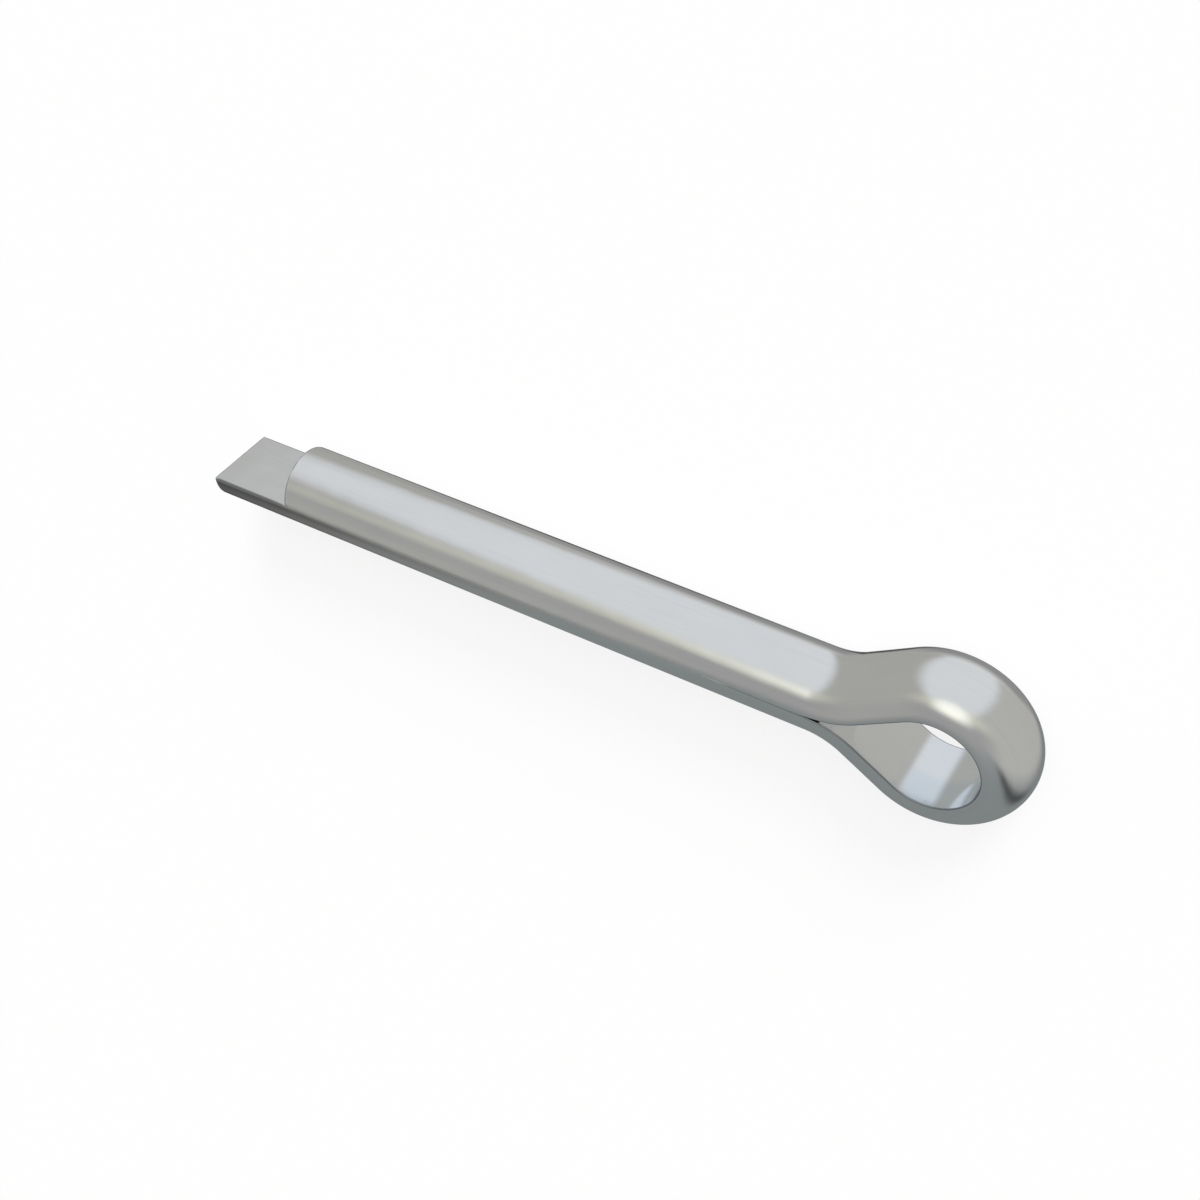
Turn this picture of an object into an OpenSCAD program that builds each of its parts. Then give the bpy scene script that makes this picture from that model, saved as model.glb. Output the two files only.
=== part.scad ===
// Split cotter pin, 3.2 x 20, bent from one length of half-round wire.
//
// The wire has a half-disc section. It runs from the cut end of the short leg
// up to the neck, swings outwards, goes once round the eye, comes back through
// the mirrored neck and runs down the long leg. The flat of the wire faces
// inwards all the way, so the two closed legs make a round shank, and the eye
// has a flat inner wall and a crowned outer one.
//
// The pin lies on its side. +X runs along the shank towards the eye, +Y is the
// side of the short leg, and +Z is along the axis of the eye. The origin is on
// the shank's axis, where the legs part at the neck.

/* [Shank] */
// Diameter over the two closed legs
shank_d = 2.8; // [2:0.05:3.6]
// Length of the short leg, from the neck to its cut end
short_leg = 20; // [8:0.5:60]
// How far the long leg reaches past the end of the short one
tip_reach = 3.13; // [0:0.01:6]
// Hairline space between the flats of the closed legs
leg_gap = 0.02; // [0.02:0.01:0.4]

/* [Eye] */
// Radius of the eye, to the centre of the wire's full circle
eye_r = 1.694; // [1.2:0.001:3]
// Radius of the bend at the neck, to the same line
neck_r = 3.305; // [2.4:0.001:4]
// Angle each leg swings out at the neck (twice atan 7/24: sine 0.5376, cosine 0.8432)
neck_angle = 32.5204; // [20:0.0001:38]

/* [Hidden] */
$fn = 100;

wire_r = shank_d / 2;
long_leg = short_leg + tip_reach;
half_gap = leg_gap / 2;

// The wire's path lies in the plane Z = 0, at the centre of the circle that its
// section is cut from: the shank's axis, an arc at the neck, a straight run
// tangent to it, and the arc of the eye. These are the straight run's length
// and the place of the eye's axis.
run = (eye_r * cos(neck_angle) - neck_r * (1 - cos(neck_angle))) / sin(neck_angle);
eye_x = (neck_r + eye_r) * sin(neck_angle) + run * cos(neck_angle);

// Larger than anything that is cut
far = 20;

// Half-round section of the wire. The flat is at x = half_gap, and the crown
// reaches x = wire_r.
module half_round() {
    intersection() {
        circle(r = wire_r);
        translate([half_gap, -2 * wire_r]) square([2 * wire_r, 4 * wire_r]);
    }
}

// Straight wire from the origin along +X, with its crown towards +Y.
module straight(length) {
    rotate([0, 90, 0]) rotate([0, 0, 90]) linear_extrude(height = length) half_round();
}

// The half-space past the plane X = 0.
module past() {
    translate([0, -far, -far]) cube(2 * far);
}

// Carries its children from the start of the bend at the neck to its end.
module after_bend() {
    translate([0, neck_r, 0]) rotate([0, 0, neck_angle]) translate([0, -neck_r, 0]) children();
}

// Bend at the neck. It leaves the shank's axis at the origin and swings
// towards +Y, with the crown on the inside of the bend.
module neck_bend() {
    intersection() {
        translate([0, neck_r, 0])
            rotate_extrude() translate([neck_r, 0]) mirror([1, 0]) half_round();
        past();
        after_bend() mirror([1, 0, 0]) past();
    }
}

// The half-space short of the end of the straight run on the +Y side.
module before_eye() {
    after_bend() translate([run, 0, 0]) mirror([1, 0, 0]) past();
}

// Eye: a ring of the wire, crown outwards, open towards the shank between the
// ends of the two straight runs.
module eye() {
    difference() {
        translate([eye_x, 0, 0]) rotate_extrude() translate([eye_r, 0]) half_round();
        intersection() {
            before_eye();
            mirror([0, 1, 0]) before_eye();
        }
    }
}

// One side of the pin: leg, bend at the neck and straight run to the eye.
module side(leg) {
    mirror([1, 0, 0]) straight(leg);
    neck_bend();
    after_bend() straight(run);
}

module cotter_pin() {
    color([0.78, 0.79, 0.8]) {
        eye();
        side(short_leg);
        mirror([0, 1, 0]) side(long_leg);
    }
}

cotter_pin();
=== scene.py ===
import math

import bpy
import numpy as np
from mathutils import Matrix, Vector


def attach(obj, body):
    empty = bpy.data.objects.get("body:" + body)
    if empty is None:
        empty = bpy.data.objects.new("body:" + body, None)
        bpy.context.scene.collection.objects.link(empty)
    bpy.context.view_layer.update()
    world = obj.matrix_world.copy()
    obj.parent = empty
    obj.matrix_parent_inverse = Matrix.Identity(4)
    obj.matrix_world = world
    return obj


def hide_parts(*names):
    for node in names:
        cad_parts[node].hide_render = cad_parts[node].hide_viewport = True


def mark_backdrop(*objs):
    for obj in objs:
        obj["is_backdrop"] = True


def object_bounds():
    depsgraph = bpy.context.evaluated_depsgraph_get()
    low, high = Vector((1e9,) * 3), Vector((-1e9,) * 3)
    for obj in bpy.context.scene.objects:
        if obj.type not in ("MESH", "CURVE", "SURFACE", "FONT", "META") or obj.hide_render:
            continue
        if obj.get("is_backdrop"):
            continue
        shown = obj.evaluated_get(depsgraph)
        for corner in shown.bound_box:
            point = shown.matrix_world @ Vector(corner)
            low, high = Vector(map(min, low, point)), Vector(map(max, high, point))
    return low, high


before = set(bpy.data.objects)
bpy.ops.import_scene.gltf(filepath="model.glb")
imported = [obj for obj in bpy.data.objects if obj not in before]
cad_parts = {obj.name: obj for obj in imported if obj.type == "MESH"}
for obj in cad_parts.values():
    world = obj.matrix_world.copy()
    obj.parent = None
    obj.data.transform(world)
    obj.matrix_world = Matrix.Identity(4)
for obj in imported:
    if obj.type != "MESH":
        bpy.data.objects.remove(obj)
cad_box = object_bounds()
scene = bpy.context.scene
MM = 0.001

# ---------------------------------------------------------------------------
# The pin: one half-round wire, swept along the same path as the CAD solid.
# Lengths here are in millimetres and match part.scad.
# ---------------------------------------------------------------------------
WIRE_R = 1.4
HALF_GAP = 0.002     # the pressed legs close up to less than the CAD's clearance
FLAT_BULGE = 0.0014  # the wire's flat is very slightly full in the middle
SHORT_LEG, LONG_LEG = 20.0, 23.13
EYE_R, NECK_R = 1.694, 3.305
SWING = math.radians(32.5204)
RUN = (EYE_R * math.cos(SWING) - NECK_R * (1 - math.cos(SWING))) / math.sin(SWING)
EYE_X = (NECK_R + EYE_R) * math.sin(SWING) + RUN * math.cos(SWING)
END_ROUND = 0.02   # rounding of the edge round each cut end

FLAT_STEPS, CORNER_STEPS, CROWN_STEPS = 22, 5, 104


def ease(x, a, b):
    t = min(max((x - a) / (b - a), 0.0), 1.0)
    return t * t * (3 - 2 * t)


def stations():
    """Points of the wire's path from the short leg's end to the long leg's: (x, y), the way its crown faces, and the length so far."""
    pts, out = [], []
    ends = [END_ROUND * (1 - math.sin(math.radians(a))) for a in (90, 70, 50, 32, 15, 0)]
    first = [-SHORT_LEG + d for d in ends] + [-SHORT_LEG + d for d in (0.06, 0.12, 0.25, 0.5)]
    for x in first + list(np.linspace(-SHORT_LEG + 1.0, 0, 39))[:-1]:
        pts.append((x, 0.0)), out.append((0.0, 1.0))
    for a in np.linspace(0, SWING, 36)[:-1]:
        pts.append((NECK_R * math.sin(a), NECK_R * (1 - math.cos(a))))
        out.append((-math.sin(a), math.cos(a)))
    bx, by = NECK_R * math.sin(SWING), NECK_R * (1 - math.cos(SWING))
    for d in np.linspace(0, RUN, 19)[:-1]:
        pts.append((bx + d * math.cos(SWING), by + d * math.sin(SWING)))
        out.append((-math.sin(SWING), math.cos(SWING)))
    top = math.pi / 2 + SWING
    for a in np.linspace(top, 0, 72):
        pts.append((EYE_X + EYE_R * math.cos(a), EYE_R * math.sin(a)))
        out.append((math.cos(a), math.sin(a)))
    n_short = len(first) + 38                       # stations on the short leg
    back = range(len(pts) - 2, n_short - 1, -1)     # the mirrored half of eye and neck
    pts += [(pts[i][0], -pts[i][1]) for i in back]
    out += [(out[i][0], -out[i][1]) for i in back]
    last = [-LONG_LEG + d for d in (0.5, 0.25, 0.12, 0.06)] + [-LONG_LEG + d for d in ends[::-1]]
    for x in list(np.linspace(-0.5, -LONG_LEG + 1.0, 44)) + last:
        pts.append((x, 0.0)), out.append((0.0, -1.0))
    pts, out = np.array(pts), np.array(out)
    along = np.concatenate([[0], np.cumsum(np.hypot(*np.diff(pts, axis=0).T))])
    return pts, out, along


def corner(s, total):
    """The wire's corner: crisp, with faint painted edge shade, where the two legs meet; a little softer and with darker
    painted edge shade round the eye and at the bare ends.
    """
    neck, end = SHORT_LEG, total - SHORT_LEG
    eye = ease(s, neck - 0.6, neck + 0.9) * (1 - ease(s, end - 0.9, end + 0.6))
    bare = max(1 - ease(s, 0.0, 0.4), ease(s, total - (LONG_LEG - SHORT_LEG) - 0.2, total - (LONG_LEG - SHORT_LEG) + 0.2))
    return 0.002 + 0.023 * eye + 0.028 * bare, 0.15 + 0.85 * max(eye, bare)


def parting(s, total):
    """How far the flats draw back from each other where the neck starts, a little sooner than the bend alone opens them."""
    x = min(s, total - (LONG_LEG - SHORT_LEG) - s) - SHORT_LEG
    return 0.015 * ease(x, -0.20, 0.15) * (1 - ease(x, 0.35, 0.9))


def section(rho, inset=0.0, back=0.0):
    """Half-disc with rounded corners. Gives u (towards the crown), w (along Z), the outward normal, how near a corner each point is and if it is on the flat."""
    r, h, q = WIRE_R - inset, HALF_GAP + inset + back, rho - inset
    cu, cw = h + q, math.sqrt((r - q) ** 2 - (h + q) ** 2)     # centre of the upper corner's rounding
    th = math.atan2(cw, cu)
    u, w, nu, nw, edge, flat = [], [], [], [], [], []

    def add(a, b, na, nb, e, f=0.0):
        u.append(a), w.append(b), nu.append(na), nw.append(nb), edge.append(e), flat.append(f)

    # flat, from the lower corner up, with closer points next to each corner
    k = np.linspace(-1, 1, FLAT_STEPS + 1)
    for t in np.sign(k) * (1 - (1 - np.abs(k)) ** 1.7):
        add(h - FLAT_BULGE * (1 - t * t), t * cw, -1.0, 0.0, max(0.0, 1 - (cw - abs(t) * cw) / 0.065), 1.0)
    for a in np.linspace(math.pi, th, CORNER_STEPS + 1)[1:]:
        add(cu + q * math.cos(a), cw + q * math.sin(a), math.cos(a), math.sin(a), 1.0)
    k = np.linspace(1, -1, CROWN_STEPS + 1)[1:]
    for t in np.sign(k) * (1 - (1 - np.abs(k)) ** 1.25):
        a = t * th
        add(r * math.cos(a), r * math.sin(a), math.cos(a), math.sin(a), max(0.0, 1 - (th - abs(a)) * r / 0.065))
    for a in np.linspace(-th, -math.pi, CORNER_STEPS + 1)[1:-1]:
        add(cu + q * math.cos(a), -cw + q * math.sin(a), math.cos(a), math.sin(a), 1.0)
    return [np.array(v) for v in (u, w, nu, nw, edge, flat)]


class Pattern:
    """The pin's skin laid out flat, in pixels of 1024, as a map to bake its finish into: the crown in two strips, then
    the flats that show and the two cut ends, then the flats inside the slit, pressed thin."""

    def __init__(self, pts, out, along, skin):
        self.s, self.skin = along, skin
        self.run = np.concatenate([[0], np.cumsum(np.hypot(*np.diff(pts + out, axis=0).T))])
        self.half = int(np.argmin(np.abs(self.run - self.run[-1] / 2)))
        crown = skin[:, list(range(FLAT_STEPS, skin.shape[1])) + [0]]
        steps = np.linalg.norm(np.diff(crown, axis=1), axis=2)
        self.girth = np.concatenate([np.zeros((len(pts), 1)), np.cumsum(steps, axis=1)], axis=1)
        self.girth -= self.girth[:, -1:] / 2
        widest = self.girth.max()
        self.fine = (1024 - 61) / (4 * widest + 2 * WIRE_R)             # pixels to a millimetre across the wire
        self.coarse = 1012 / max(self.run[self.half], self.run[-1] - self.run[self.half])
        self.rows = [6 + widest * self.fine, 13 + 3 * widest * self.fine]
        top = 20 + 4 * widest * self.fine
        self.ends_at = top + WIRE_R * self.fine
        back = along[-1] - LONG_LEG
        a = int(np.searchsorted(along, SHORT_LEG + 0.2)) - 1
        b = int(np.searchsorted(along, back - 0.2))
        c = int(np.searchsorted(along, back + SHORT_LEG - 0.15)) - 1
        shown = (1024 - 30 - 2 * WIRE_R * self.fine) / (along[b] - along[a] + along[-1] - along[c])
        bare = 12 + shown * (along[b] - along[a])
        thin = top + 2 * WIRE_R * self.fine + 8
        self.flats = [(0, a, 6, thin, 48, 10 / (2 * WIRE_R)), (a, b, 6, top, shown, self.fine),
                      (b, c, 6, thin + 17, 48, 10 / (2 * WIRE_R)), (c, len(along) - 1, bare, top, shown, self.fine)]
        self.end_x = [bare + 6 + shown * (along[-1] - along[c])]
        self.end_x.append(self.end_x[0] + WIRE_R * self.fine + 6)

    def side(self, r, i):
        """Corners of the face between rings r and r + 1 and points i and i + 1."""
        if i < FLAT_STEPS:
            first, _, x, y, kx, ky = next(f for f in self.flats if f[0] <= r < f[1])
            return [(x + (self.s[q] - self.s[first]) * kx, y + (self.skin[q, k, 2] + WIRE_R) * ky)
                    for q, k in ((r, i), (r + 1, i), (r + 1, i + 1), (r, i + 1))]
        row = int(r >= self.half)
        x = 6 - row * self.run[self.half] * self.coarse
        return [(x + self.run[q] * self.coarse, self.rows[row] + self.girth[q, k - FLAT_STEPS] * self.fine)
                for q, k in ((r, i), (r + 1, i), (r + 1, i + 1), (r, i + 1))]

    def end(self, which, u, w):
        return self.end_x[which] + (u if which else WIRE_R - u) * self.fine, self.ends_at + w * self.fine


def build_pin():
    pts, out, along = stations()
    total = along[-1]
    co, no, wire, edge, flat, cut = [], [], [], [], [], []
    rings = []

    def ring(p, d, s, u, w, nu, nw, e, f, end, lean):
        """One loop of vertices. end is the way the nearest cut end faces, and lean how far the normal turns to it."""
        start = len(co)
        for i in range(len(u)):
            n = np.array([nu[i] * d[0], nu[i] * d[1], nw[i]]) * math.cos(lean) + np.array([end[0], end[1], 0.0]) * math.sin(lean)
            co.append((p[0] + u[i] * d[0], p[1] + u[i] * d[1], w[i]))
            no.append(n / np.linalg.norm(n))
            wire.append((s, u[i], w[i]))
            edge.append(e[i])
            flat.append(f[i])
            cut.append(math.sin(lean))
        rings.append((start, len(u)))

    for p, d, s in zip(pts, out, along):
        gap = min(s, total - s)
        lean = math.asin(max(0.0, 1 - gap / END_ROUND))
        inset = END_ROUND * (1 - math.cos(lean))
        rho, shade = corner(s, total)
        u, w, nu, nw, e, f = section(rho, inset, parting(s, total))
        # painted edge shade: the corner mask is scaled by the corner's shade strength and made full round each cut end
        e = np.maximum(e * shade, max(0.0, 1 - max(0.0, gap - END_ROUND) / 0.09))
        ring(p, d, s, u, w, nu, nw, e, f, (-1.0, 0.0), lean)

    n = rings[0][1]
    pattern = Pattern(pts, out, along, np.array(co).reshape(len(pts), n, 3))
    faces, places = [], []
    for r, (a, b) in enumerate(zip(rings[:-1], rings[1:])):
        for i in range(n):
            j = (i + 1) % n
            faces.append((a[0] + i, b[0] + i, b[0] + j, a[0] + j))
            places += pattern.side(r, i)

    # the cut ends: loops drawn in towards the middle of the half-disc, then one point
    for which, p, d, s in ((0, pts[0], out[0], along[0]), (1, pts[-1], out[-1], total)):
        outer = rings[0] if which == 0 else rings[len(pts) - 1]
        uw = [wire[outer[0] + i][1:] for i in range(n)]
        loops = [outer[0]]
        for f in (0.985, 0.93, 0.8, 0.6, 0.38, 0.18):
            start = len(co)
            for i in range(n):
                u, w = 0.55 + (uw[i][0] - 0.55) * f, uw[i][1] * f
                co.append((p[0], p[1] + u * d[1], w))
                no.append(np.array([-1.0, 0.0, 0.0]))
                wire.append((s, u, w))
                # the end face's rim takes the painted edge shade
                edge.append(max(0.0, 1 - (1 - f) * 8))
                flat.append(0.0)
                cut.append(1.0)
            loops.append(start)
        middle = len(co)
        co.append((p[0], p[1] + 0.55 * d[1], 0.0))
        no.append(np.array([-1.0, 0.0, 0.0]))
        wire.append((s, 0.55, 0.0))
        edge.append(0.0)
        flat.append(0.0)
        cut.append(1.0)
        for a, b in zip(loops[:-1], loops[1:]):
            for i in range(n):
                j = (i + 1) % n
                faces.append((a + j, b + j, b + i, a + i) if which == 0 else (a + i, b + i, b + j, a + j))
                places += [pattern.end(which, *wire[v][1:]) for v in faces[-1]]
        for i in range(n):
            j = (i + 1) % n
            faces.append((loops[-1] + j, middle, loops[-1] + i) if which == 0 else (loops[-1] + i, middle, loops[-1] + j))
            places += [pattern.end(which, *wire[v][1:]) for v in faces[-1]]

    mesh = bpy.data.meshes.new("split_pin")
    mesh.from_pydata((np.array(co) * MM).tolist(), [], faces)
    if mesh.validate():
        raise RuntimeError("the pin's mesh had faults")
    mesh.shade_smooth()
    at = mesh.attributes.new("wire", "FLOAT_VECTOR", "POINT")
    at.data.foreach_set("vector", np.array(wire, np.float32).ravel())
    for name, values in (("edge", edge), ("flat", flat), ("cut", cut)):
        at = mesh.attributes.new(name, "FLOAT", "POINT")
        at.data.foreach_set("value", np.array(values, np.float32))
    mesh.uv_layers.new(name="OFBake").uv.foreach_set("vector", (np.array(places, np.float32) / 1024).ravel())
    mesh.normals_split_custom_set_from_vertices([tuple(v) for v in no])
    obj = bpy.data.objects.new("split_pin", mesh)
    scene.collection.objects.link(obj)
    return obj, total


# ---------------------------------------------------------------------------
# Node helpers
# ---------------------------------------------------------------------------
class Tree:
    def __init__(self, tree):
        self.t = tree
        tree.nodes.clear()

    def node(self, kind, **settings):
        n = self.t.nodes.new(kind)
        for k, v in settings.items():
            setattr(n, k, v)
        return n

    def put(self, socket, value):
        if isinstance(value, bpy.types.NodeSocket):
            self.t.links.new(value, socket)
        else:
            socket.default_value = value

    def math(self, op, *values):
        n = self.node("ShaderNodeMath", operation=op)
        for s, v in zip(n.inputs, values):
            self.put(s, v)
        return n.outputs[0]

    def step(self, x, lo, hi, to_lo=0.0, to_hi=1.0):
        """Eases from to_lo to to_hi as x goes from lo to hi."""
        n = self.node("ShaderNodeMapRange", interpolation_type="SMOOTHSTEP")
        for s, v in zip(n.inputs, (x, lo, hi, to_lo, to_hi)):
            self.put(s, v)
        return n.outputs[0]

    def band(self, x, lo, hi, soft):
        return self.math("MULTIPLY", self.step(x, lo - soft, lo + soft), self.step(x, hi - soft, hi + soft, 1.0, 0.0))

    def mix(self, a, b, fac):
        n = self.node("ShaderNodeMix", data_type="RGBA")
        self.put(n.inputs[0], fac)
        self.put(n.inputs[6], a)
        self.put(n.inputs[7], b)
        return n.outputs[2]


# ---------------------------------------------------------------------------
# Zinc-plated steel
# ---------------------------------------------------------------------------
def zinc_plated_steel(length):
    """Bright blue-passivated zinc on drawn wire. The pattern follows the wire: s along it, u towards the crown, w across, in millimetres."""
    mat = bpy.data.materials.new("zinc_plated_steel")
    mat.use_nodes = True
    t = Tree(mat.node_tree)
    wire = t.node("ShaderNodeAttribute", attribute_name="wire").outputs["Vector"]
    edge = t.node("ShaderNodeAttribute", attribute_name="edge").outputs["Fac"]
    flat = t.node("ShaderNodeAttribute", attribute_name="flat").outputs["Fac"]
    cut = t.node("ShaderNodeAttribute", attribute_name="cut").outputs["Fac"]
    sep = t.node("ShaderNodeSeparateXYZ")
    t.put(sep.inputs[0], wire)
    s, u, w = sep.outputs

    def noise(scale, stretch=(1, 1, 1), detail=2.0, rough=0.5):
        m = t.node("ShaderNodeMapping", vector_type="POINT")
        t.put(m.inputs["Vector"], wire)
        m.inputs["Scale"].default_value = stretch
        n = t.node("ShaderNodeTexNoise")
        t.put(n.inputs["Vector"], m.outputs[0])
        n.inputs["Scale"].default_value = scale
        n.inputs["Detail"].default_value = detail
        n.inputs["Roughness"].default_value = rough
        return n.outputs["Fac"]

    def times(a, b):
        return t.math("MULTIPLY", a, b)

    cloud = noise(0.55, (0.6, 1, 1), 3.0)                   # slow drift of the plating's tone
    swell = noise(0.9, (0.7, 1, 1), 1.0)                    # faint waviness left by bending and barrel plating
    grain = noise(26.0, (1, 1, 1), 2.0)                     # fine zinc crystals
    drawn = noise(9.0, (0.035, 1, 1), 3.0, 0.6)             # drawing marks along the wire
    fine = noise(24.0, (0.02, 1, 1), 2.0, 0.6)
    shear = noise(7.0, (1, 0.12, 1), 3.0, 0.65)             # marks that the cutter leaves on the ends
    ragged = noise(2.6, (1, 0.25, 1), 3.0, 0.6)
    grit = noise(13.0, (1, 1, 1), 3.0, 0.7)
    # breaks up the painted edge shade near the cut ends
    edge_shade_gaps = noise(2.4, (1, 1, 1), 2.0)

    # the flats that face each other in the closed slit, which take painted shade, and the flat inside the eye
    short_side = t.step(s, SHORT_LEG + 0.50, SHORT_LEG + 0.62, 1.0, 0.0)
    at = length - LONG_LEG
    long_side = times(t.step(s, at - 0.62, at - 0.50), t.step(s, at + SHORT_LEG - 0.02, at + SHORT_LEG + 0.01, 1.0, 0.0))
    slit = times(flat, t.math("MAXIMUM", short_side, long_side))
    from_top = t.math("ABSOLUTE", t.math("SUBTRACT", s, (length + SHORT_LEG - LONG_LEG) / 2))
    in_eye = times(flat, t.step(from_top, 2.9, 3.9, 1.0, 0.0))

    # the ends: cut smooth on the crown's side, then torn off rough
    torn = times(cut, t.step(t.math("MULTIPLY_ADD", ragged, -0.8, u), 0.05, 0.15, 1.0, 0.0))
    near_end = t.math("MAXIMUM", t.step(s, 0.05, 0.20, 1.0, 0.0), t.step(s, length - 0.20, length - 0.05))
    # painted shade along the wire's corners, patchy near the cut ends
    painted_edge_shade = times(t.step(edge, 0.55, 1.0), 0.8)
    painted_edge_shade = times(painted_edge_shade, t.math("SUBTRACT", 1.0, times(near_end, t.step(edge_shade_gaps, 0.40, 0.60, 0.65, 0.0))))

    pale, dull = (0.943, 0.945, 0.948, 1.0), (0.918, 0.920, 0.923, 1.0)
    colour = t.mix(dull, pale, t.step(cloud, 0.32, 0.68))
    blue = t.mix((0.93, 0.965, 0.99, 1.0), (0.83, 0.90, 0.96, 1.0), t.step(w, -0.05, 0.45))
    colour = t.mix(colour, blue, in_eye)                                                        # blue tint of the passivation on the flat inside the eye, with painted shade darkening it towards the upper rim
    colour = t.mix(colour, (0.85, 0.85, 0.84, 1.0), times(t.step(drawn, 0.5, 0.75), 0.35))
    colour = t.mix(colour, (0.76, 0.76, 0.755, 1.0), times(cut, t.step(shear, 0.35, 0.70)))
    colour = t.mix(colour, (0.62, 0.62, 0.615, 1.0), times(torn, t.step(grit, 0.62, 0.40)))
    colour = t.mix(colour, (0.22, 0.245, 0.26, 1.0), painted_edge_shade)                                 # painted shade along the corners and round the cut ends
    colour = t.mix(colour, (0.035, 0.035, 0.035, 1.0), slit)                                    # painted shade: the flats in the closed slit are drawn near black

    rough = t.math("ADD", 0.09, times(cloud, 0.04))
    for more in (times(drawn, 0.04), times(grain, 0.02), times(edge, 0.10), times(cut, 0.09), times(torn, 0.16), times(slit, 0.35)):
        rough = t.math("ADD", rough, more)

    lines = t.math("ADD", times(drawn, 0.65), times(fine, 0.16))
    lines = t.math("ADD", lines, times(grain, 0.025))
    lines = t.math("ADD", lines, times(times(shear, t.math("SUBTRACT", cut, times(torn, 0.6))), 2.5))
    lines = t.math("ADD", lines, times(times(grit, torn), 2.6))
    soft = t.node("ShaderNodeBump")
    soft.inputs["Strength"].default_value = 1.0
    soft.inputs["Distance"].default_value = 0.000012
    t.put(soft.inputs["Height"], swell)
    bump = t.node("ShaderNodeBump")
    bump.inputs["Strength"].default_value = 1.0
    bump.inputs["Distance"].default_value = 0.0000022
    t.put(bump.inputs["Height"], lines)
    t.put(bump.inputs["Normal"], soft.outputs[0])

    p = t.node("ShaderNodeBsdfPrincipled")
    t.put(p.inputs["Base Color"], colour)
    p.inputs["Metallic"].default_value = 1.0
    t.put(p.inputs["Roughness"], rough)
    p.inputs["Specular Tint"].default_value = (0.96, 0.96, 0.965, 1.0)
    t.put(p.inputs["Normal"], bump.outputs[0])
    out = t.node("ShaderNodeOutputMaterial")
    t.put(out.inputs["Surface"], p.outputs[0])
    return mat


pin, wire_length = build_pin()
pin.data.materials.append(zinc_plated_steel(wire_length))
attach(pin, "root")
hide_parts("cotter_pin")


# ---------------------------------------------------------------------------
# Floor: a plain white table under the pin
# ---------------------------------------------------------------------------
def white_table(z):
    mesh = bpy.data.meshes.new("table")
    s = 1.5
    mesh.from_pydata([(-s, -s, z), (s, -s, z), (s, s, z), (-s, s, z)], [], [(0, 1, 2, 3)])
    obj = bpy.data.objects.new("table", mesh)
    scene.collection.objects.link(obj)
    mat = bpy.data.materials.new("white_table")
    mat.use_nodes = True
    t = Tree(mat.node_tree)
    diffuse = t.node("ShaderNodeBsdfDiffuse")
    diffuse.inputs["Color"].default_value = (0.16, 0.16, 0.16, 1.0)
    glow = t.node("ShaderNodeEmission")
    glow.inputs["Color"].default_value = (1.0, 1.0, 1.0, 1.0)
    glow.inputs["Strength"].default_value = 0.807
    add = t.node("ShaderNodeAddShader")
    t.put(add.inputs[0], diffuse.outputs[0])
    t.put(add.inputs[1], glow.outputs[0])
    out = t.node("ShaderNodeOutputMaterial")
    t.put(out.inputs["Surface"], add.outputs[0])
    mesh.materials.append(mat)
    obj.visible_glossy = False      # the pin mirrors the studio, not the table
    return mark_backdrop(obj)


table = white_table(cad_box[0].z)


# ---------------------------------------------------------------------------
# Studio: a plain room of soft light. Four walls, a ceiling that brightens
# towards the far wall with a warm softbox in it, a dim level below the table,
# and two dark flags. Each has one colour, in round steps of linear light.
# Azimuth and elevation are in degrees: azimuth 0 is +X, 90 is +Y.
# ---------------------------------------------------------------------------
FRONT, RIGHT_WALL = (0.2, 0.22, 0.22, 1.0), (0.4, 0.4, 0.38, 1.0)
FAR_WALL, LEFT_WALL = (0.6, 0.62, 0.64, 1.0), (0.35, 0.35, 0.33, 1.0)
CEILING_NEAR, CEILING_FAR = (0.3, 0.3, 0.3, 1.0), (0.6, 0.6, 0.5, 1.0)
SOFTBOX, FLAG = (1.0, 1.0, 0.9, 1.0), (0.05, 0.05, 0.05, 1.0)
BELOW_NEAR, BELOW_FAR = (0.25, 0.25, 0.25, 1.0), (0.6, 0.6, 0.6, 1.0)


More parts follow.
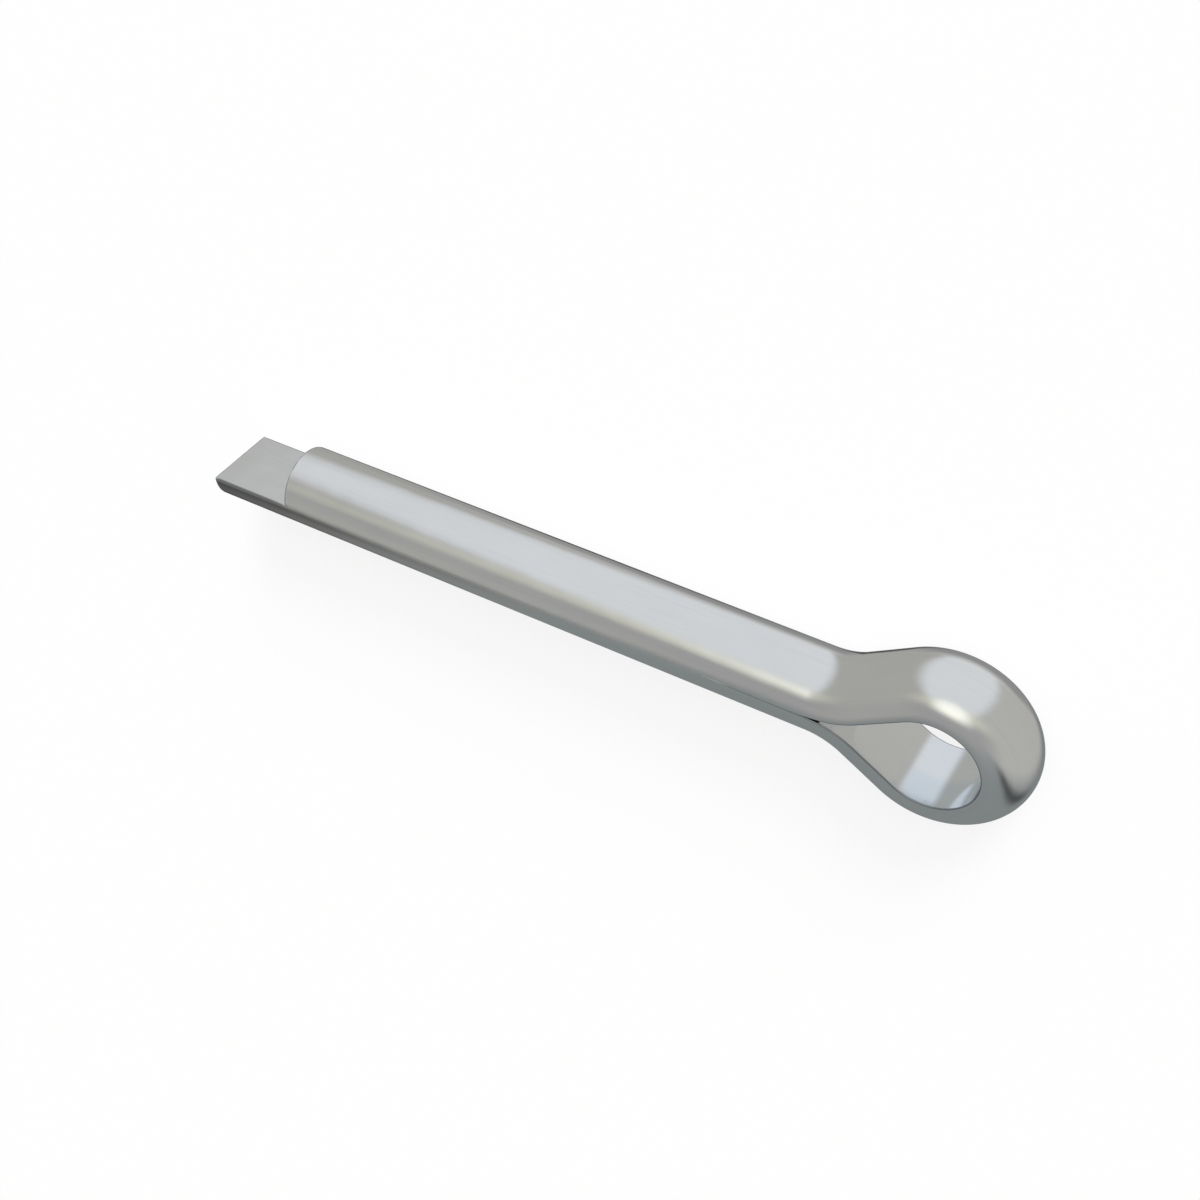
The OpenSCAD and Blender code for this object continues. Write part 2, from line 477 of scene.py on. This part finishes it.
def studio(strength):
    world = bpy.data.worlds.new("studio")
    world.use_nodes = True
    scene.world = world
    t = Tree(world.node_tree)
    coord = t.node("ShaderNodeTexCoord").outputs["Generated"]
    sep = t.node("ShaderNodeSeparateXYZ")
    t.put(sep.inputs[0], coord)
    x, y, z = sep.outputs
    az = t.math("MULTIPLY", t.math("ARCTAN2", y, x), 180 / math.pi)
    el = t.math("MULTIPLY", t.math("ARCSINE", z), 180 / math.pi)

    def patch(under, colour, across, up):
        """A soft-edged patch of one colour over what is there."""
        return t.mix(under, colour, t.math("MULTIPLY", across, up))

    # walls, round from the left one
    c = t.mix(LEFT_WALL, FRONT, t.step(az, -130, -110))
    c = t.mix(c, RIGHT_WALL, t.step(az, -55, -25))
    c = t.mix(c, FAR_WALL, t.step(az, 45, 60))
    c = t.mix(c, LEFT_WALL, t.step(az, 120, 140))
    c = patch(c, FLAG, t.band(az, -145, -120, 8), t.step(el, 20, 45, 1, 0))               # flag on the left
    lean = t.math("MULTIPLY_ADD", el, -0.2, az)
    c = patch(c, FLAG, t.band(lean, -60, -50, 6), t.band(el, -20, 50, 15))                # a thin flag that leans

    # ceiling, by place on a plane overhead
    zz = t.math("MAXIMUM", z, 0.05)
    px, py = t.math("DIVIDE", x, zz), t.math("DIVIDE", y, zz)
    dx = t.math("DIVIDE", px, 0.35)
    dy = t.math("DIVIDE", t.math("SUBTRACT", py, 0.45), 0.5)
    from_key = t.math("SQRT", t.math("ADD", t.math("MULTIPLY", dx, dx), t.math("MULTIPLY", dy, dy)))
    ceiling = t.mix(CEILING_NEAR, CEILING_FAR, t.step(py, 0.0, 0.5))
    ceiling = t.mix(ceiling, SOFTBOX, t.step(from_key, 0.4, 1.2, 1, 0))
    c = t.mix(c, ceiling, t.step(el, 40, 75))

    # below the table's level
    low = t.mix(BELOW_NEAR, BELOW_FAR, t.step(y, 0.0, 0.5))
    c = t.mix(c, low, t.step(el, -70, -55, 1, 0))

    light = t.node("ShaderNodeBackground")
    t.put(light.inputs["Color"], c)
    light.inputs["Strength"].default_value = strength
    plain = t.node("ShaderNodeBackground")          # what shows past the table's edge
    plain.inputs["Color"].default_value = (1.0, 1.0, 1.0, 1.0)
    seen = t.node("ShaderNodeLightPath").outputs["Is Camera Ray"]
    both = t.node("ShaderNodeMixShader")
    t.put(both.inputs[0], seen)
    t.put(both.inputs[1], light.outputs[0])
    t.put(both.inputs[2], plain.outputs[0])
    out = t.node("ShaderNodeOutputWorld")
    t.put(out.inputs["Surface"], both.outputs[0])


def table_light(name, azimuth, elevation, spread, power):
    """Soft light from beyond the pin, for its shadow on the table. It is kept out of the metal, which mirrors the studio."""
    data = bpy.data.lights.new(name, "SUN")
    data.energy, data.angle = power, math.radians(spread)
    obj = bpy.data.objects.new(name, data)
    scene.collection.objects.link(obj)
    a, e = math.radians(azimuth), math.radians(elevation)
    towards = Vector((math.cos(a) * math.cos(e), math.sin(a) * math.cos(e), math.sin(e)))
    obj.rotation_euler = towards.to_track_quat("Z", "Y").to_euler()
    obj.visible_glossy = False


studio(1.1)
table_light("low_light", 77, 17.5, 16, 3.35)
table_light("high_light", 77, 34, 42, 2.2)
scene.view_settings.view_transform = "Standard"
scene.view_settings.look = "None"


# ---------------------------------------------------------------------------
# Camera: fitted to the outline of the pin in the photograph
# ---------------------------------------------------------------------------
RIGHT = Vector((0.86468027, 0.00347261, -0.50231063))
DOWN = Vector((0.34423564, -0.73235124, 0.58750616))
AHEAD = Vector((-0.36582763, -0.68091821, -0.63444506))
cam_data = bpy.data.cameras.new("camera")
cam_data.sensor_width = 36.0
cam_data.lens = 51.0751
cam_data.clip_start, cam_data.clip_end = 0.001, 10.0
cam = bpy.data.objects.new("camera", cam_data)
scene.collection.objects.link(cam)
m = Matrix((RIGHT, -DOWN, -AHEAD)).transposed().to_4x4()
m.translation = Vector((12.607692, 38.352468, 35.737667)) * MM
cam.matrix_world = m
scene.camera = cam

bpy.context.view_layer.update()
